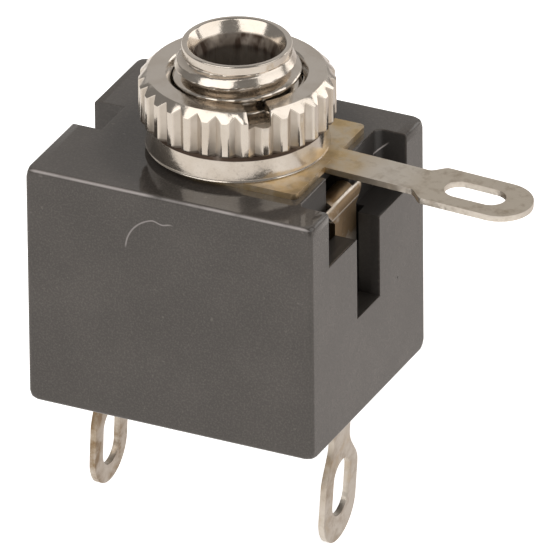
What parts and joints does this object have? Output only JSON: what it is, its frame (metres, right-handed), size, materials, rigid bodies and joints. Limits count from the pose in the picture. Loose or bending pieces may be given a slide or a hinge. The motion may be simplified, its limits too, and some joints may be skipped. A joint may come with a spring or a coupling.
{
  "type": "panel-mount stereo jack socket",
  "caption": "Enclosed stereo jack socket with a black moulded housing, a threaded bushing and knurled nut for panel mounting, and slotted solder lugs.",
  "frame": {"origin": "on the bushing's axis, on the top face of its flange, where the panel seats", "axes": "+Z along the bushing's axis, out of the plug's mouth; +X towards the sleeve tag's lug; -Y towards the plain front of the housing"},
  "size_m": [0.0226, 0.0122, 0.025],
  "materials": {
    "black_plastic": "moulded, half gloss",
    "bright_nickel": "turned and nickel plated",
    "tinned_brass": "stamped and silver plated, lightly tarnished"
  },
  "bodies": {
    "socket": {"housing": "black_plastic", "bushing": "bright_nickel", "sleeve_tag": "tinned_brass", "ring_contact": "tinned_brass", "tip_contact": "tinned_brass"},
    "nut": {"knurled_nut": "bright_nickel"}
  },
  "joints": [
    {"name": "nut_travel", "type": "slide", "parent": "socket", "child": "nut", "axis": [0, 0, 1], "range_m": [0, 0.0039]}
  ]
}
